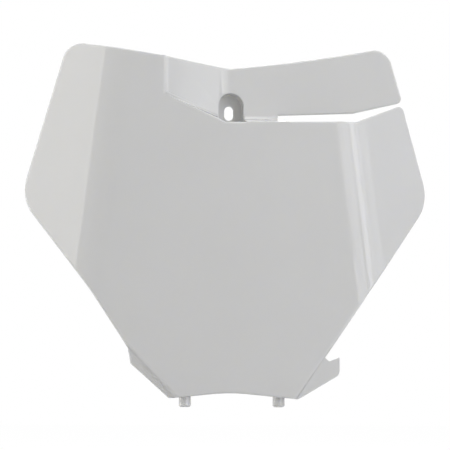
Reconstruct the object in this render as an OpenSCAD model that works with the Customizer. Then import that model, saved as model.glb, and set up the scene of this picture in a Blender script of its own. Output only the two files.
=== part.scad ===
// Front number plate for an off-road motorcycle: one moulded sheet.
// The flat of the front face lies in the XZ plane, +Z is up and +Y runs back to the fork.
// The origin is midway between the two locating pegs, where they leave their brackets.
// Outlines are drawn as seen from the front, as lists of [x, z, corner radius].

/* [Sheet] */
// Thickness of the moulded sheet
sheet_t = 2.5; // [2:0.1:3.5]
// Half width across the side tips, before rounding
tip_x = 144.3; // [138:0.1:152]
// Height of the side tips
tip_z = 133.9; // [122:0.1:145]
// Radius of the side tips
tip_r = 29; // [15:1:36]
// Half width across the top corners, before rounding
shoulder_x = 112.4; // [106:0.1:120]
// Radius of the top corners
shoulder_r = 12.5; // [6:0.5:16]
// Height of the top edge at the bottom of its notch
top_z = 225.6; // [216:0.1:232]
// Slope of the top edge beside the notch, in degrees
top_lean = 5.8; // [3:0.1:8]
// Radius of the long curve of the top edge
top_r = 1140; // [600:10:1600]
// Half width where the lower edge turns steeper
waist_x = 96.7; // [92:0.1:102]
// Height where the lower edge turns steeper
waist_z = 68.8; // [60:0.1:76]
// Height of the bottom edge at its middle, before rounding
arch_z = -0.9; // [-4:0.1:-0.5]
// Fall of the bottom edge to both sides, in degrees
arch_lean = 5.6; // [3:0.1:8]
// Radius of the bottom edge at its middle
arch_r = 120; // [60:5:200]

/* [Wings] */
// Half width between the wing folds, at the height of the origin
fold_x = 107.9; // [103:0.1:113]
// Lean of each wing fold towards the middle, in degrees
fold_lean = 7.4; // [6:0.1:11]
// How far each wing is folded back, in degrees
wing_angle = 32; // [26:1:40]
// Radius of the wing folds on the front face
wing_r = 48; // [30:1:60]

/* [Lower flanks] */
// Top of the left flank's fold, from the middle
left_top_x = 70.8; // [69:0.1:73]
// Height of the top of the left flank's fold
left_top_z = 29.4; // [27:0.1:32]
// Lean of the left flank's fold from upright, in degrees
left_lean = 44; // [41:0.1:47]
// Fold angle of the left flank, in degrees
left_angle = 48; // [35:1:56]
// Drop from the top of the left flank's fold to its outer corner
left_flank_h = 10.5; // [8:0.1:14]
// Left bottom corner of the sheet, from the middle
left_corner_x = 42.6; // [41:0.1:44]
// Top of the right flank's fold, from the middle
right_top_x = 65.4; // [63.5:0.1:67]
// Height of the top of the right flank's fold
right_top_z = 23.4; // [21:0.1:26]
// Lean of the right flank's fold from upright, in degrees
right_lean = 35; // [33:0.1:37]
// Fold angle of the right flank, in degrees
right_angle = 45; // [35:1:52]
// Right bottom corner of the sheet, from the middle
right_corner_x = 47.5; // [46:0.1:50]
// Radius of the flank folds on the front face
flank_r = 6.5; // [4:0.5:8]
// Width of the hose hook beyond the top of the right flank's fold
hook_w = 12.7; // [11:0.1:15]
// Drop from the top of the right flank's fold to the hook's outer corner
hook_h = 12; // [10:0.1:15]
// Height of the hook's tip over the top of the right flank's fold
hook_rise = 2.2; // [1:0.1:4]
// Distance from the top of the right flank's fold out to the hose notch
notch_x = 3.7; // [3:0.1:4.5]
// Depth of the hose notch
notch_h = 3.2; // [2:0.1:4]
// Radius of the hose notch
notch_r = 2; // [1.5:0.1:3]

/* [Hose recess] */
// How far the top notch, the screw pocket and the pegs sit right of the middle
recess_x = 1.7; // [-3:0.1:4]
// Bottom of the valley, left of the middle
valley_x = 2.6; // [-2:0.1:6]
// Depth of the recess at the bottom of the valley
recess_depth = 22; // [14:0.5:26]
// Left rim of the recess, from the middle
rim_x = 46; // [42:0.1:52]
// Radius of the fold at the left rim
rim_r = 11.5; // [6:0.5:14]
// Radius of the valley
valley_r = 21; // [8:0.5:26]
// Lean of the top strip towards the back, in degrees
strip_lean = 0.2; // [0:0.1:5]
// Height of the ledge at the left rim
ledge_rim_z = 204.3; // [200:0.1:209]
// Where the ledge stops falling, left of the middle
ledge_turn_x = 4; // [1:0.1:7]
// Height of the ledge where it stops falling
ledge_z = 186; // [180:0.1:190]
// Slope of the ledge across the valley, in degrees
ledge_lean = 0.9; // [0:0.1:3]
// Rise of the ledge towards the back, in degrees
ledge_rise = 10.2; // [6:0.1:20]
// Radius of the fillet between the ledge and the recess behind it
ledge_r = 4; // [2:0.5:5]

/* [Hose slit] */
// Left end of the slit, from the middle
slit_x = 34.4; // [28:0.1:40]
// How much further right the ledge reaches at its front edge
slit_skew = 6.4; // [3:0.1:10]
// Height of the strip's lower edge over the ledge's front edge, at the slit's left end
slit_h = 7.1; // [6:0.1:10]
// Where both edges of the slit turn up, from the middle
slit_turn_x = 87.8; // [84:0.1:94]
// Height between the two edges where they turn up
slit_turn_h = 7.8; // [6:0.1:12]
// Height of the lower panel's corner at the slit's open end
slit_end_z = 202.3; // [199:0.1:205]
// Height between the two edges at the slit's open end
slit_end_h = 1.4; // [1:0.1:4]
// Radius of the corners at the slit's open end
slit_end_r = 4; // [2:0.5:6]

/* [Screw pocket] */
// Inner radius of the pocket's arched top
pocket_r = 9; // [8:0.1:11]
// Height of the centre of the pocket's arch
pocket_z = 199.2; // [195:0.1:203]
// Depth of the pocket's floor behind the front face
pocket_depth = 35; // [31:0.5:40]
// Width of the screw slot
slot_w = 6.2; // [5:0.1:8]
// Length of the screw slot from end to end
slot_l = 10; // [8.6:0.1:12]
// Height of the middle of the screw slot
slot_z = 195.4; // [194:0.1:197]

/* [Pegs] */
// Radius of each locating peg
peg_r = 4.2; // [3:0.1:5]
// Distance between the two pegs
peg_spacing = 65; // [50:0.5:67]
// Length of each peg below its bracket
peg_l = 11; // [9:0.5:18]
// Distance from the front face back to the pegs
peg_setback = 8.5; // [7.6:0.1:12]
// Chamfer at the end of each peg
peg_chamfer = 1; // [0.5:0.1:1.5]
// Wall of the bracket round each peg
bracket_wall = 2; // [1.2:0.1:2.6]
// Thickness of each bracket
bracket_t = 3; // [2:0.1:4]
// Height of the gussets that hold each bracket to the sheet
gusset_h = 15; // [8:0.5:22]
// Thickness of each gusset
gusset_t = 1.8; // [1.2:0.1:2.4]

/* [Hidden] */
$fn = 64;

// Largest turn between two points of a rounded corner, in degrees
arc_step = 5;
// Largest turn between two flats of a wing or flank fold, in degrees
fold_step = 3;
// Overlap of every cut past the face that it opens
clear = 1;
// How far the ledge's fillet is sunk into the sheet on both sides
sink = 0.05;
// Side of a solid that is only there to be trimmed
big = 600;
// Depth of the trimming prisms behind the front face
back_y = 90;
// Radius of the soft bends in the sheet's long edges
soft_r = 40;
// Radius of the bends in the ledge and the slit
bend_r = 8;
// Radius of the small outer corners
small_r = 2;

rim = -rim_x;
ledge_turn = -ledge_turn_x;
valley = -valley_x;
facet_angle = atan(recess_depth / (valley - rim));
rim_start = rim - rim_r * tan(facet_angle / 2);
facet_fall = (ledge_rim_z - ledge_z) / (ledge_turn - rim);
side_slope = (tip_x - shoulder_x) / (top_height(shoulder_x) - tip_z);
slit_end_x = side_x(slit_end_z);
strip_end_z = slit_end_z + slit_end_h;

left_top = [-left_top_x, left_top_z];
right_top = [right_top_x, right_top_z];

// Each fold is [a point on its line, turn of its outward direction, fold angle, radius]
folds = [
    [[fold_x, 0], -fold_lean, wing_angle, wing_r],
    [[-fold_x, 0], 180 + fold_lean, wing_angle, wing_r],
    [left_top, 180 - left_lean, left_angle, flank_r],
    [right_top, right_lean, right_angle, flank_r],
];

// Height of the top edge at x
function top_height(x) =
    top_z + top_r * cos(top_lean)
    - sqrt(pow(top_r, 2) - pow(abs(x - recess_x) + top_r * sin(top_lean), 2));

// Half width of the sheet at its upper side edges, at height z
function side_x(z) = tip_x - side_slope * (z - tip_z);

// Height of the bottom edge at x
function arch_height(x) = arch_z - abs(x) * tan(arch_lean);

// Height of the ledge's front edge at x
function ledge_height(x) =
    x < ledge_turn
    ? ledge_z + (ledge_turn - x) * facet_fall
    : ledge_z + (x - ledge_turn) * tan(ledge_lean);

// Depth of the top strip's front face at x
function strip_depth(x) = recess_depth + (x - valley) * tan(strip_lean);

function unit(v) = v / norm(v);

// Shorter way round from angle a to angle b
function turn_between(a, b) = (b - a + 540) % 360 - 180;

function on_circle(centre, r, a) = centre + r * [cos(a), sin(a)];

// Points of the arc that rounds corner b between its neighbours a and c
function corner(a, b, c, r, step = arc_step) =
    r == 0
    ? [b]
    : let (
        u = unit(a - b),
        w = unit(c - b),
        half = acos(u * w) / 2,
        centre = b + unit(u + w) * r / sin(half),
        first = b + u * r / tan(half) - centre,
        last = b + w * r / tan(half) - centre,
        start = atan2(first.y, first.x),
        sweep = turn_between(start, atan2(last.y, last.x)),
        steps = ceil(abs(sweep) / step)
    )
    [for (i = [0:steps]) on_circle(centre, r, start + sweep * i / steps)];

function place(p) = [p.x, p.y];

// Outline with every corner rounded to the radius in its third value
function rounded(points) =
    let (n = len(points))
    [for (i = [0:n - 1])
        each corner(place(points[(i + n - 1) % n]), place(points[i]), place(points[(i + 1) % n]), points[i][2])];

// Points along the top edge from x0 to x1
function top_edge(x0, x1, steps = 6) =
    [for (i = [0:steps]) let (x = x0 + (x1 - x0) * i / steps) [x, top_height(x), 0]];

// Point of the hook's outline, measured from the top of the right flank's fold
function from_hook(x, drop, r) = [right_top.x + x, right_top.y - drop, r];

// Front outline of everything but the recess and the top strip
front_outline = rounded(concat(
    top_edge(rim_start, 2 * shoulder_r - shoulder_x),
    [
        [-shoulder_x, top_height(-shoulder_x), shoulder_r],
        [-tip_x, tip_z, tip_r],
        [-waist_x, waist_z, soft_r],
        [left_top.x, left_top.y, small_r],
        [left_top.x + small_r, left_top.y - left_flank_h, small_r],
        [-left_corner_x, arch_height(left_corner_x), small_r],
        [0, arch_z, arch_r],
        [right_corner_x, arch_height(right_corner_x), small_r],
        from_hook(hook_w, hook_h, 2 * small_r),
        from_hook(hook_w, -hook_rise, small_r),
        from_hook(notch_x, notch_h, notch_r),
        from_hook(0, 0, small_r / 4),
        [waist_x, waist_z, soft_r],
        [tip_x, tip_z, tip_r],
        [slit_end_x, slit_end_z, slit_end_r],
        [slit_turn_x, ledge_height(slit_turn_x), bend_r],
        [ledge_turn, ledge_z, bend_r],
        [rim_start, ledge_height(rim_start), 0],
    ]
));

// Front outline of the recess and the top strip, run on below the ledge
strip_outline = rounded(concat(
    [
        [rim_start, ledge_z - bend_r, 0],
        [slit_x, ledge_z - bend_r, 0],
        [slit_x, ledge_height(slit_x) + slit_h, small_r],
        [slit_turn_x, ledge_height(slit_turn_x) + slit_turn_h, bend_r],
        [side_x(strip_end_z), strip_end_z, slit_end_r],
        [shoulder_x, top_height(shoulder_x), shoulder_r],
    ],
    top_edge(shoulder_x - 2 * shoulder_r, recess_x),
    top_edge(recess_x - bend_r, rim_start)
));

// Front edge of the ledge, lowered by drop
function ledge_front(drop) =
    let (
        x0 = rim_start - clear,
        x1 = slit_x + slit_skew + bend_r,
        start = [x0, ledge_height(x0) - drop],
        end = [x1, ledge_height(x1) - drop]
    )
    concat([start], corner(start, [ledge_turn, ledge_z - drop], end, bend_r), [end]);

// Region between the ledge's front edge, lowered by drop, and a level line at height z
function ledge_outline(drop, z) =
    let (line = ledge_front(drop))
    concat(line, [[line[len(line) - 1].x, z], [line[0].x, z]]);

// Unit normal of the line from a to b, to its left
function normal(a, b) = unit([a.y - b.y, b.x - a.x]);

// Corner b of a bent line, moved sideways by t with both of its legs
function moved(a, b, c, t) =
    let (m = normal(a, b), n = normal(b, c)) b + t * (m + n) / (1 + m * n);

// Plan of the recess at depth t in the sheet: left rim, facet, valley and strip
function recess_line(t) =
    let (
        start = [rim_start - big, 0],
        bottom = [valley, recess_depth],
        end = [tip_x, strip_depth(tip_x)],
        p0 = start + [0, t],
        p1 = moved(start, [rim, 0], bottom, t),
        p2 = moved([rim, 0], bottom, end, t),
        p3 = end + t * normal(bottom, end)
    )
    concat(corner(p0, p1, p2, rim_r - t), corner(p1, p2, p3, valley_r + t), [p3]);

function reversed(list) = [for (i = [1:len(list)]) list[len(list) - i]];

// Prism of a front outline, from y0 back to y1
module prism(y0, y1) {
    translate([0, y1, 0])
        rotate([90, 0, 0])
            linear_extrude(y1 - y0)
                children();
}

// Prism of a front outline that climbs at the ledge's rise as it runs back
module climbing_prism(points) {
    translate([0, 0, ledge_z])
        rotate([ledge_rise, 0, 0])
            prism(-back_y, back_y)
                polygon([for (p = points) [p.x, (p.y - ledge_z) * cos(ledge_rise)]]);
}

// Section across a fold at depth t in the sheet, closed far behind it
function fold_section(angle, r, t) =
    let (
        start = [-big, 0],
        end = big * [cos(angle), sin(angle)],
        last = end + t * normal([0, 0], end)
    )
    concat(
        [[-big, t]],
        corner([-big, t], moved(start, [0, 0], end, t), last, r - t, fold_step),
        [last, [-big, last.y]]
    );

// All that lies behind the folded sheet at depth t: no fold bends forward
module behind_sheet(t) {
    intersection_for (f = folds)
        translate([f[0].x, 0, f[0].y])
            rotate([0, f[1], 0])
                translate([0, 0, -big / 2])
                    linear_extrude(big)
                        polygon(fold_section(f[2], f[3], t));
}

// Front sheet with its wings and lower flanks folded back
module front_sheet() {
    difference() {
        intersection() {
            prism(-clear, back_y)
                polygon(front_outline);
            behind_sheet(0);
        }
        behind_sheet(sheet_t);
    }
}

// Facet, valley and top strip of the recess, down to the underside of the ledge
module recess_sheet() {
    difference() {
        intersection() {
            linear_extrude(big)
                polygon(concat(recess_line(0), reversed(recess_line(sheet_t))));
            prism(-clear, back_y)
                polygon(strip_outline);
        }
        intersection() {
            climbing_prism(ledge_outline(sheet_t, 0));
            translate([rim_start - clear, -clear, 0])
                cube([slit_x - rim_start + clear, big, big]);
        }
    }
}

// Plan of all that lies in front of the recess, at depth t in its sheet
module recess_front(t) {
    polygon(concat(recess_line(t), [[tip_x, -big], [rim_start, -big]]));
}

// Fillet in the corner that the ledge makes with a flat of the recess, from x0 to x1.
// The flat runs back at angle turn, and the ledge's front edge falls by fall per unit of x.
module ledge_fillet(x0, x1, y0, turn, fall) {
    climb = tan(ledge_rise);
    seam_rise = atan(climb * sin(turn) - fall * cos(turn));
    ledge_tilt = atan((climb * cos(turn) + fall * sin(turn)) * cos(seam_rise));
    far = big * [-cos(ledge_tilt), -sin(ledge_tilt)];
    arc = corner([0, big], [0, 0], far, ledge_r);
    translate([x0, y0, ledge_height(x0) + y0 * climb])
        rotate([0, -seam_rise, turn])
            rotate([90, 0, 90])
                linear_extrude((x1 - x0) / cos(turn) / cos(seam_rise))
                    polygon(concat(
                        [[sink, arc[0].y]],
                        arc,
                        [arc[len(arc) - 1] - [0, sink], [sink, -sink]]
                    ));
}

// Ledge that climbs from the lower panel's top edge back to the recess
module ledge() {
    intersection() {
        union() {
            climbing_prism(concat(
                ledge_front(0),
                reversed(ledge_front(sheet_t))
            ));
            ledge_fillet(rim, valley, 0, facet_angle, facet_fall);
            ledge_fillet(valley, slit_x + clear, recess_depth, strip_lean, -tan(ledge_lean));
        }
        linear_extrude(big)
            intersection() {
                recess_front(sheet_t / 2);
                polygon([
                    [rim_start, 0],
                    [slit_x + slit_skew, 0],
                    [slit_x, strip_depth(slit_x)],
                    [slit_x, big],
                    [rim_start, big],
                ]);
            }
    }
}

// Arched outline of the screw pocket, grown by the wall
module pocket_arch(wall) {
    intersection() {
        union() {
            translate([recess_x, pocket_z])
                circle(r = pocket_r + wall);
            translate([recess_x - pocket_r - wall, pocket_z - big / 2])
                square([2 * (pocket_r + wall), big / 2]);
        }
        polygon(ledge_outline(wall, big));
    }
}

// Cup behind the recess that takes the screw's head
module pocket_cup() {
    difference() {
        prism(sheet_t / 2, pocket_depth + sheet_t)
            pocket_arch(sheet_t);
        intersection() {
            climbing_prism(ledge_outline(sheet_t / 2, big));
            linear_extrude(big)
                recess_front(sheet_t / 2);
        }
    }
}

// Space for the screw's head and the upright slot for its shank
module pocket_space() {
    prism(-clear, pocket_depth)
        pocket_arch(0);
    slot_half = (slot_l - slot_w) / 2;
    prism(pocket_depth - clear, pocket_depth + sheet_t + clear)
        translate([recess_x, slot_z]) {
            for (side = [-1, 1])
                translate([0, side * slot_half])
                    circle(d = slot_w);
            square([slot_w, 2 * slot_half], center = true);
        }
}

// Locating peg with the gusseted bracket that carries it behind the sheet
module peg() {
    bracket_r = peg_r + bracket_wall;
    face_y = sheet_t / 2;
    translate([0, peg_setback, 0])
        rotate_extrude()
            polygon([
                [0, -peg_l],
                [peg_r - peg_chamfer, -peg_l],
                [peg_r, peg_chamfer - peg_l],
                [peg_r, bracket_t / 2],
                [0, bracket_t / 2],
            ]);
    linear_extrude(bracket_t) {
        translate([0, peg_setback])
            circle(r = bracket_r);
        translate([-bracket_r, face_y])
            square([2 * bracket_r, peg_setback - face_y]);
    }
    for (side = [-1, 1])
        translate([side * (bracket_r - gusset_t / 2) - gusset_t / 2, 0, 0])
            rotate([90, 0, 90])
                linear_extrude(gusset_t)
                    polygon([
                        [face_y, bracket_t / 2],
                        [peg_setback, bracket_t / 2],
                        [peg_setback, bracket_t],
                        [face_y, gusset_h],
                    ]);
}

module number_plate() {
    color("white")
        translate([-recess_x, -peg_setback, 0])
            difference() {
                union() {
                    front_sheet();
                    recess_sheet();
                    ledge();
                    pocket_cup();
                    for (side = [-1, 1])
                        translate([recess_x + side * peg_spacing / 2, 0, 0])
                            peg();
                }
                pocket_space();
            }
}

number_plate();
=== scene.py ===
"""Front number plate of an off-road motorcycle, dressed and lit as in a plain photo studio."""

from __future__ import annotations

import logging
import math
from dataclasses import dataclass
from enum import Enum

import bpy
from mathutils import Matrix, Vector
from mathutils.bvhtree import BVHTree
from mathutils.kdtree import KDTree


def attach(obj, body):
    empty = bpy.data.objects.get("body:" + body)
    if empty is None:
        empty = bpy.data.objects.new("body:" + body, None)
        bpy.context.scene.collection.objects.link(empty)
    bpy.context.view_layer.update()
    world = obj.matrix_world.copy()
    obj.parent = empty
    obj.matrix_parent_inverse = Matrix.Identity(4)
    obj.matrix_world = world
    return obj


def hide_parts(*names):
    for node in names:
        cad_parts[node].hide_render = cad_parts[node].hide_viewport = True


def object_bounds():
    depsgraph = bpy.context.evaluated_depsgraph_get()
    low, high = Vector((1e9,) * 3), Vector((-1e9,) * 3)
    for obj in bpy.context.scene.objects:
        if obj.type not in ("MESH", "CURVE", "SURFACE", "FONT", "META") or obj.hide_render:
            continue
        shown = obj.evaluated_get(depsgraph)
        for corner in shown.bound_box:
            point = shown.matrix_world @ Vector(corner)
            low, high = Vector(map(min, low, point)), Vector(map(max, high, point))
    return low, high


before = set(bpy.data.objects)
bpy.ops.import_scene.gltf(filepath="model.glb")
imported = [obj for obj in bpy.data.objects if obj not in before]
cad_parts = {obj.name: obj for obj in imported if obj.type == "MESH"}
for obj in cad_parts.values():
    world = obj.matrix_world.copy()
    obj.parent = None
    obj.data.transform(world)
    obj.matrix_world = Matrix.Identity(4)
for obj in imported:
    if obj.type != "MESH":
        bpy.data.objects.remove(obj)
cad_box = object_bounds()

LOG = logging.getLogger("number_plate")
MM = 0.001
AIM = Vector((0.0, -8.5 * MM, 121 * MM))

Colour = tuple[float, float, float]
WHITE: Colour = (1.0, 1.0, 1.0)

# The colour sockets of a Mix node have the same names as its other sockets, so they go by number.
MIX_A = 6
MIX_B = 7
MIX_RESULT = 2


class Edge(Enum):
    """Kinds of moulded edge, each with its share of the largest rounding."""

    OUTLINE = 1.0
    MOUTH = 0.75
    INNER = 0.25


class SeenBy(Enum):
    """Light Path outputs of the rays that see the plain white background."""

    CAMERA = "Is Camera Ray"
    GLOSSY = "Is Glossy Ray"
    TRANSMISSION = "Is Transmission Ray"


class Nodes:
    """Short-hand for one node tree."""

    NOISE_LOW = 0.3
    NOISE_HIGH = 0.7

    def __init__(self, tree: bpy.types.NodeTree) -> None:
        """Empty the tree.

        Args:
            tree: The tree to fill.
        """
        self.tree = tree
        tree.nodes.clear()

    def add(self, kind: str, **values: object) -> bpy.types.Node:
        """Add a node.

        Args:
            kind: The node's type name.
            values: Attributes by name, and input sockets by their name with spaces as underscores.

        Returns:
            The new node.
        """
        node = self.tree.nodes.new(kind)
        for name, value in values.items():
            if hasattr(node, name):
                setattr(node, name, value)
            else:
                node.inputs[name.replace("_", " ")].default_value = value
        return node

    def link(self, source: bpy.types.NodeSocket, target: bpy.types.NodeSocket) -> None:
        """Join two sockets."""
        self.tree.links.new(source, target)

    def noise(self, scale: float, detail: float) -> bpy.types.Node:
        """Add a noise pattern on the piece's own coordinates.

        Args:
            scale: Features for each metre.
            detail: Octaves of finer pattern.

        Returns:
            The noise node.
        """
        place = self.add("ShaderNodeTexCoord")
        pattern = self.add("ShaderNodeTexNoise", Scale=scale, Detail=detail, Roughness=0.5)
        self.link(place.outputs["Object"], pattern.inputs["Vector"])
        return pattern

    def spread(self, source: bpy.types.NodeSocket, low: float, high: float) -> bpy.types.NodeSocket:
        """Map the middle of a noise pattern to a range.

        Args:
            source: The pattern's value.
            low: Value where the pattern is low.
            high: Value where the pattern is high.

        Returns:
            The socket with the mapped value.
        """
        ramp = self.add("ShaderNodeMapRange", clamp=True)
        ramp.inputs["From Min"].default_value = self.NOISE_LOW
        ramp.inputs["From Max"].default_value = self.NOISE_HIGH
        ramp.inputs["To Min"].default_value = low
        ramp.inputs["To Max"].default_value = high
        self.link(source, ramp.inputs["Value"])
        return ramp.outputs["Result"]

    def seen(self, rays: tuple[SeenBy, ...]) -> bpy.types.NodeSocket:
        """Tell whether the current ray is one of these.

        Args:
            rays: The kinds of ray that count.

        Returns:
            A socket that is 1 for those rays and 0 for the others.
        """
        path = self.add("ShaderNodeLightPath")
        value = path.outputs[rays[0].value]
        for ray in rays[1:]:
            larger = self.add("ShaderNodeMath", operation="MAXIMUM")
            self.link(value, larger.inputs[0])
            self.link(path.outputs[ray.value], larger.inputs[1])
            value = larger.outputs[0]
        return value


@dataclass(frozen=True)
class GlossPolypropylene:
    """White polypropylene as it leaves a polished mould."""

    name: str = "gloss_polypropylene"
    light: Colour = (0.772, 0.772, 0.770)
    dark: Colour = (0.760, 0.760, 0.758)
    roughness_low: float = 0.045
    roughness_high: float = 0.075
    ior: float = 1.49
    glow_weight: float = 0.35
    glow_depth: float = 4.0 * MM
    glow_radius: Colour = (1.0, 0.95, 0.75)
    shade_scale: float = 16.0
    shade_detail: float = 3.0
    gloss_scale: float = 130.0
    gloss_detail: float = 4.0
    wave_scale: float = 34.0
    wave_detail: float = 1.0
    wave_depth: float = 0.02 * MM
    skin_scale: float = 1600.0
    skin_detail: float = 2.0
    skin_depth: float = 0.0008 * MM

    def material(self) -> bpy.types.Material:
        """Make the material.

        Returns:
            The new material, on the piece's own coordinates.
        """
        made = bpy.data.materials.new(self.name)
        made.use_nodes = True
        nodes = Nodes(made.node_tree)
        surface = nodes.add("ShaderNodeBsdfPrincipled", IOR=self.ior)
        surface.inputs["Subsurface Weight"].default_value = self.glow_weight
        surface.inputs["Subsurface Scale"].default_value = self.glow_depth
        surface.inputs["Subsurface Radius"].default_value = self.glow_radius
        nodes.link(self.colour(nodes), surface.inputs["Base Color"])
        gloss = nodes.noise(self.gloss_scale, self.gloss_detail)
        rough = nodes.spread(gloss.outputs["Fac"], self.roughness_low, self.roughness_high)
        nodes.link(rough, surface.inputs["Roughness"])
        nodes.link(self.relief(nodes), surface.inputs["Normal"])
        output = nodes.add("ShaderNodeOutputMaterial")
        nodes.link(surface.outputs["BSDF"], output.inputs["Surface"])
        return made

    def colour(self, nodes: Nodes) -> bpy.types.NodeSocket:
        """Add the faint cloudiness of the melt.

        Args:
            nodes: The material's tree.

        Returns:
            The colour socket.
        """
        cloud = nodes.noise(self.shade_scale, self.shade_detail)
        share = nodes.spread(cloud.outputs["Fac"], 0.0, 1.0)
        mix = nodes.add("ShaderNodeMix", data_type="RGBA")
        mix.inputs[MIX_A].default_value = (*self.dark, 1.0)
        mix.inputs[MIX_B].default_value = (*self.light, 1.0)
        nodes.link(share, mix.inputs["Factor"])
        return mix.outputs[MIX_RESULT]

    def relief(self, nodes: Nodes) -> bpy.types.NodeSocket:
        """Add the slow waves of the cooled sheet and the fine skin of the mould.

        Args:
            nodes: The material's tree.

        Returns:
            The normal socket.
        """
        waves = nodes.noise(self.wave_scale, self.wave_detail)
        skin = nodes.noise(self.skin_scale, self.skin_detail)
        slow = nodes.add("ShaderNodeBump", Strength=1.0, Distance=self.wave_depth)
        nodes.link(waves.outputs["Fac"], slow.inputs["Height"])
        fine = nodes.add("ShaderNodeBump", Strength=1.0, Distance=self.skin_depth)
        nodes.link(skin.outputs["Fac"], fine.inputs["Height"])
        nodes.link(slow.outputs["Normal"], fine.inputs["Normal"])
        return fine.outputs["Normal"]


@dataclass(frozen=True)
class StudioPaper:
    """Matt white paper that the camera sees as plain white, apart from shadows."""

    name: str = "studio_paper"
    shade: float = 0.60
    lift: float = 0.92

    def material(self) -> bpy.types.Material:
        """Make the material.

        Returns:
            The new material.
        """
        made = bpy.data.materials.new(self.name)
        made.use_nodes = True
        nodes = Nodes(made.node_tree)
        paper = nodes.add("ShaderNodeBsdfDiffuse", Color=(self.shade, self.shade, self.shade, 1.0))
        lift = nodes.add("ShaderNodeEmission", Color=(*WHITE, 1.0))
        strength = nodes.add("ShaderNodeMath", operation="MULTIPLY")
        strength.inputs[1].default_value = self.lift
        nodes.link(nodes.seen(tuple(SeenBy)), strength.inputs[0])
        nodes.link(strength.outputs[0], lift.inputs["Strength"])
        both = nodes.add("ShaderNodeAddShader")
        nodes.link(paper.outputs["BSDF"], both.inputs[0])
        nodes.link(lift.outputs["Emission"], both.inputs[1])
        output = nodes.add("ShaderNodeOutputMaterial")
        nodes.link(both.outputs["Shader"], output.inputs["Surface"])
        return made


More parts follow.
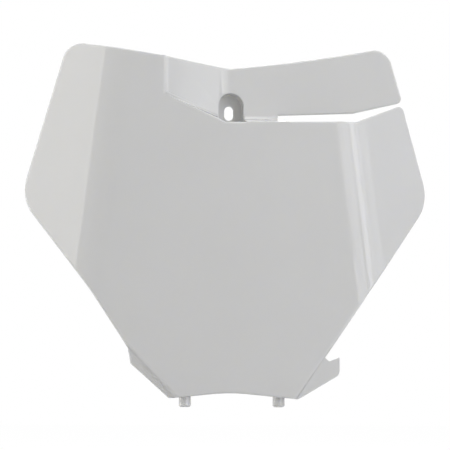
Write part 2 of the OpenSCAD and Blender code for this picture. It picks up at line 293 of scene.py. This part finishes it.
@dataclass
class Plate:
    """The moulded sheet with its pocket, ledge, brackets and pegs, all in one piece."""

    node: str = "number_plate"
    name: str = "plate_shell"
    slot: str = "plate"
    body: str = "root"

    # Welding of the solid's loose triangles.
    weld: float = 0.002 * MM
    flat_limit: float = math.radians(0.4)
    shortest: float = 0.3 * MM

    # Rounding, and where each kind of edge lies.
    rounding: float = 1.2 * MM
    rounding_steps: int = 4
    sharp_from: float = math.radians(28)
    front_below: float = -0.3
    draw_within: float = 0.02
    pocket_reach: float = 10.5 * MM
    pocket_height: float = 199.2 * MM
    mounts_reach: float = 60 * MM
    mounts_height: float = 20 * MM
    mounts_front: float = -5.5 * MM

    # What counts as a fold, and how far from it edges are left sharp.
    speck: float = 0.02 * MM * MM
    turned_below: float = -0.2
    fold_reach: float = 1.6 * MM
    pocket_zone: float = 30 * MM
    pocket_fold_reach: float = 0.7 * MM
    flank_top: float = 75 * MM
    short_edge: float = 7 * MM
    eased_on_flanks: tuple[float, ...] = (7 * MM, 7 * MM, 7 * MM, 60 * MM)

    # Finish of the rounded mesh.
    stray: float = 0.55 * MM
    smooth_below: float = math.radians(40)

    def build(self, finish: GlossPolypropylene) -> bpy.types.Object:
        """Build the shell over its solid and dress it.

        Args:
            finish: The plastic that it is made of.

        Returns:
            The finished piece.
        """
        shell = self.welded_copy()
        self.weigh_edges(shell)
        self.round_edges(shell)
        self.smooth(shell)
        shell.data.materials.clear()
        shell.data.materials.append(finish.material())
        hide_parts(self.node)
        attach(shell, self.body)
        return shell

    def welded_copy(self) -> bpy.types.Object:
        """Copy the solid's mesh, weld its triangles and join those that are flush.

        Returns:
            The copy, selected and active.
        """
        bpy.ops.object.select_all(action="DESELECT")
        shell = bpy.data.objects.new(self.name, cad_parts[self.node].data.copy())
        bpy.context.scene.collection.objects.link(shell)
        shell.select_set(True)
        bpy.context.view_layer.objects.active = shell
        bpy.ops.object.mode_set(mode="EDIT")
        bpy.ops.mesh.select_all(action="SELECT")
        bpy.ops.mesh.remove_doubles(threshold=self.weld)
        bpy.ops.mesh.dissolve_limited(angle_limit=self.flat_limit)
        bpy.ops.mesh.dissolve_degenerate(threshold=self.shortest)
        bpy.ops.object.mode_set(mode="OBJECT")
        return shell

    def weigh_edges(self, shell: bpy.types.Object) -> None:
        """Give each sharp edge the share of the rounding that its kind has.

        Args:
            shell: The welded copy.
        """
        mesh = shell.data
        sides: dict[tuple[int, int], list[Vector]] = {}
        for face in mesh.polygons:
            for key in face.edge_keys:
                sides.setdefault(key, []).append(face.normal.copy())
        kinds: dict[tuple[int, int], Edge] = {}
        for edge in mesh.edges:
            normals = sides[edge.key]
            if len(normals) == 2 and normals[0].angle(normals[1]) > self.sharp_from:
                ends = [mesh.vertices[index].co for index in edge.vertices]
                kinds[edge.key] = self.kind((ends[0] + ends[1]) / 2, normals)
        weights = mesh.attributes.new("bevel_weight_edge", "FLOAT", "EDGE")
        for edge in mesh.edges:
            if edge.key in kinds:
                weights.data[edge.index].value = kinds[edge.key].value

    def kind(self, middle: Vector, normals: list[Vector]) -> Edge:
        """Tell an edge's kind from its place and the two faces that meet there.

        Args:
            middle: The edge's middle.
            normals: The normals of the two faces.

        Returns:
            MOUTH on the pocket's rim and OUTLINE elsewhere, where a face that looks forward meets
            a wall along the mould's draw. INNER for all other edges and for the peg brackets.
        """
        faces_front = any(normal.y < self.front_below for normal in normals)
        along_draw = any(abs(normal.y) < self.draw_within for normal in normals)
        on_mounts = (
            abs(middle.x) < self.mounts_reach
            and middle.z < self.mounts_height
            and middle.y > self.mounts_front
        )
        if on_mounts or not (faces_front and along_draw):
            return Edge.INNER
        from_pocket = math.hypot(middle.x, middle.z - self.pocket_height)
        return Edge.MOUTH if from_pocket < self.pocket_reach else Edge.OUTLINE

    def round_edges(self, shell: bpy.types.Object) -> None:
        """Round the weighted edges, and leave those sharp where rounding would fold the skin over.

        Args:
            shell: The welded copy with its weights, which gets the rounded mesh.
        """
        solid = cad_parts[self.node].data
        corners = [vertex.co for vertex in solid.vertices]
        skin = BVHTree.FromPolygons(corners, [tuple(face.vertices) for face in solid.polygons])
        plain = shell.data
        self.bevel(shell, plain)
        for longest in self.eased_on_flanks:
            folds = self.folds(shell.data, skin)
            LOG.info("rounding: %d points at folds", len(folds))
            if folds:
                self.ease(plain, folds, longest)
                self.bevel(shell, plain)
        self.pull_back(shell.data, skin)

    def bevel(self, shell: bpy.types.Object, plain: bpy.types.Mesh) -> None:
        """Give the shell a rounded copy of the welded mesh.

        Args:
            shell: The shell, which is the active object.
            plain: The welded mesh with its weights.
        """
        shell.data = plain.copy()
        rounding = shell.modifiers.new("rounding", "BEVEL")
        rounding.limit_method = "WEIGHT"
        rounding.width = self.rounding
        rounding.segments = self.rounding_steps
        rounding.use_clamp_overlap = False
        rounding.miter_outer = "MITER_SHARP"
        bpy.ops.object.modifier_apply(modifier=rounding.name)

    def folds(self, mesh: bpy.types.Mesh, skin: BVHTree) -> list[Vector]:
        """Find where the rounding folded the skin over.

        Args:
            mesh: The rounded mesh.
            skin: The solid's faces.

        Returns:
            The corners of the triangles that point the wrong way.
        """
        found: list[Vector] = []
        mesh.calc_loop_triangles()
        for piece in mesh.loop_triangles:
            if piece.area > self.speck:
                ends = [mesh.vertices[index].co for index in piece.vertices]
                _, normal, _, _ = skin.find_nearest((ends[0] + ends[1] + ends[2]) / 3)
                if normal.dot(piece.normal) < self.turned_below:
                    found.extend(end.copy() for end in ends)
        return found

    def ease(self, mesh: bpy.types.Mesh, folds: list[Vector], longest: float) -> None:
        """Leave the shorter edges beside a fold unrounded.

        Args:
            mesh: The welded mesh, whose weights change.
            folds: The points at the folds.
            longest: Length up to which an edge of the lower flanks may be left sharp.
        """
        spots = KDTree(len(folds))
        for index, spot in enumerate(folds):
            spots.insert(spot, index)
        spots.balance()
        weights = mesh.attributes["bevel_weight_edge"]
        for edge in mesh.edges:
            ends = [mesh.vertices[index].co for index in edge.vertices]
            weight = weights.data[edge.index]
            on_flank = max(end.z for end in ends) < self.flank_top
            limit = longest if on_flank else self.short_edge
            if weight.value > 0.0 and (ends[0] - ends[1]).length < limit:
                from_pocket = math.hypot(ends[0].x, ends[0].z - self.pocket_height)
                by_pocket = from_pocket < self.pocket_zone
                reach = self.pocket_fold_reach if by_pocket else self.fold_reach
                if min(spots.find(end)[2] for end in ends) < reach:
                    weight.value = 0.0

    def pull_back(self, mesh: bpy.types.Mesh, skin: BVHTree) -> None:
        """Put back the points that the rounding threw clear of the solid or past its front.

        Args:
            mesh: The rounded mesh.
            skin: The solid's faces.
        """
        front = cad_box[0].y
        for vertex in mesh.vertices:
            near, normal, _, _ = skin.find_nearest(vertex.co)
            if (vertex.co - near).dot(normal) > self.stray:
                vertex.co = near
            vertex.co.y = max(vertex.co.y, front)

    def smooth(self, shell: bpy.types.Object) -> None:
        """Shade the bends smooth and keep the large faces flat.

        Args:
            shell: The rounded shell, which is the active object.
        """
        bpy.ops.object.shade_smooth_by_angle(angle=self.smooth_below)
        weighted = shell.modifiers.new("weighting", "WEIGHTED_NORMAL")
        weighted.keep_sharp = True
        bpy.ops.object.modifier_apply(modifier=weighted.name)


@dataclass
class Viewpoint:
    """Camera that stands where the photograph was taken."""

    aim: Vector
    distance: float = 1760 * MM
    turn: float = math.radians(5.97)
    rise: float = math.radians(3.72)
    roll: float = math.radians(0.20)
    aside: float = 6.02 * MM
    above: float = 6.58 * MM
    lens: float = 204.1

    def axes(self) -> Matrix:
        """Work out the camera's right, forward and up directions, as the rows of a matrix.

        Returns:
            The matrix that turns the plate's directions into the camera's.
        """
        turned = Matrix.Rotation(self.turn, 3, "Z")
        raised = Matrix.Rotation(-self.rise, 3, "X")
        rolled = Matrix.Rotation(self.roll, 3, "Y")
        return rolled @ raised @ turned

    def build(self) -> bpy.types.Object:
        """Make the scene's camera.

        Returns:
            The camera.
        """
        data = bpy.data.cameras.new("camera")
        data.lens = self.lens
        camera = bpy.data.objects.new("camera", data)
        bpy.context.scene.collection.objects.link(camera)
        right, forward, up = self.axes()
        offset = right * self.aside + forward * self.distance + up * self.above
        camera.location = self.aim - offset
        camera.rotation_euler = Matrix((right, up, -forward)).transposed().to_euler()
        bpy.context.scene.camera = camera
        return camera


@dataclass
class Softbox:
    """Flat lamp that faces the plate."""

    name: str
    azimuth: float
    elevation: float
    width: float
    height: float
    brightness: float
    tint: Colour = WHITE
    distance: float = 1.6

    def build(self, aim: Vector) -> bpy.types.Object:
        """Hang the lamp.

        Args:
            aim: The point that it faces.

        Returns:
            The lamp.
        """
        lamp = bpy.data.lights.new(self.name, "AREA")
        lamp.shape = "RECTANGLE"
        lamp.size = self.width
        lamp.size_y = self.height
        lamp.energy = self.brightness * math.pi * self.width * self.height
        lamp.color = self.tint
        hung = bpy.data.objects.new(self.name, lamp)
        bpy.context.scene.collection.objects.link(hung)
        aside = math.radians(self.azimuth)
        high = math.radians(self.elevation)
        level = math.cos(high)
        away = Vector((math.sin(aside) * level, -math.cos(aside) * level, math.sin(high)))
        hung.location = aim + away * self.distance
        hung.rotation_euler = away.to_track_quat("Z", "Y").to_euler()
        hung.visible_camera = False
        return hung


@dataclass
class Studio:
    """Pale floor, white surroundings and the lamps."""

    aim: Vector
    floor_drop: float = 120 * MM
    floor_side: float = 16.0
    fill: float = 0.12
    lamps: tuple[Softbox, ...] = (
        Softbox("right_softbox", 29.0, 29.1, 0.55, 1.60, 1.6, (0.99, 0.995, 1.02)),
        Softbox("bright_strip", 45.5, 29.1, 0.27, 1.60, 3.15, (0.99, 0.995, 1.02)),
        Softbox("right_flag", 54.0, 29.1, 0.15, 1.60, 1.7, (0.98, 1.0, 1.04)),
        Softbox("right_panel", 66.0, 28.5, 0.45, 1.60, 1.0, (0.98, 1.0, 1.04)),
        Softbox("right_reflector", 35.0, -4.0, 0.90, 0.33, 2.35, (0.99, 0.995, 1.02)),
        Softbox("left_panel", -63.0, 12.5, 0.27, 2.0, 2.0, (1.02, 1.0, 0.94)),
        Softbox("left_softbox", -97.0, 12.5, 0.72, 2.0, 3.5),
        Softbox("top_panel", 0.0, 80.0, 0.39, 1.16, 3.5),
        Softbox("front_softbox", -17.0, 32.0, 1.0, 0.9, 0.35, (1.02, 1.0, 0.94)),
        Softbox("back_panel", 170.0, 25.0, 1.6, 1.2, 1.0),
    )

    def build(self, lowest: float) -> None:
        """Set up the floor, the surroundings and the lamps.

        Args:
            lowest: Height of the plate's lowest point.
        """
        self.lay_floor(lowest - self.floor_drop)
        self.light_surroundings()
        for lamp in self.lamps:
            lamp.build(self.aim)

    def lay_floor(self, height: float) -> None:
        """Lay the pale floor.

        Args:
            height: Height of the floor.
        """
        bpy.ops.object.select_all(action="DESELECT")
        bpy.ops.mesh.primitive_plane_add(size=self.floor_side, location=(0.0, 0.0, height))
        floor = bpy.context.object
        floor.name = "floor"
        bpy.ops.object.transform_apply(location=True, rotation=True, scale=True)
        floor.data.materials.append(StudioPaper().material())

    def light_surroundings(self) -> None:
        """Make the surroundings white to look at and give them a soft, even light."""
        world = bpy.data.worlds.new("surroundings")
        bpy.context.scene.world = world
        world.use_nodes = True
        nodes = Nodes(world.node_tree)
        sky = nodes.add("ShaderNodeBackground", Color=(*WHITE, 1.0))
        strength = nodes.add("ShaderNodeMapRange")
        strength.inputs["To Min"].default_value = self.fill
        strength.inputs["To Max"].default_value = 1.0
        nodes.link(nodes.seen(tuple(SeenBy)), strength.inputs["Value"])
        nodes.link(strength.outputs["Result"], sky.inputs["Strength"])
        output = nodes.add("ShaderNodeOutputWorld")
        nodes.link(sky.outputs["Background"], output.inputs["Surface"])


def main() -> None:
    """Dress the plate, then set up the studio and the camera round it."""
    logging.basicConfig(level=logging.INFO, format="%(name)s: %(message)s")
    low, _ = cad_box
    shell = Plate().build(GlossPolypropylene())
    LOG.info("%s: %d faces", shell.name, len(shell.data.polygons))
    Studio(AIM).build(low.z)
    Viewpoint(AIM).build()
    bpy.context.scene.view_settings.view_transform = "Standard"


if __name__ == "__main__":
    main()
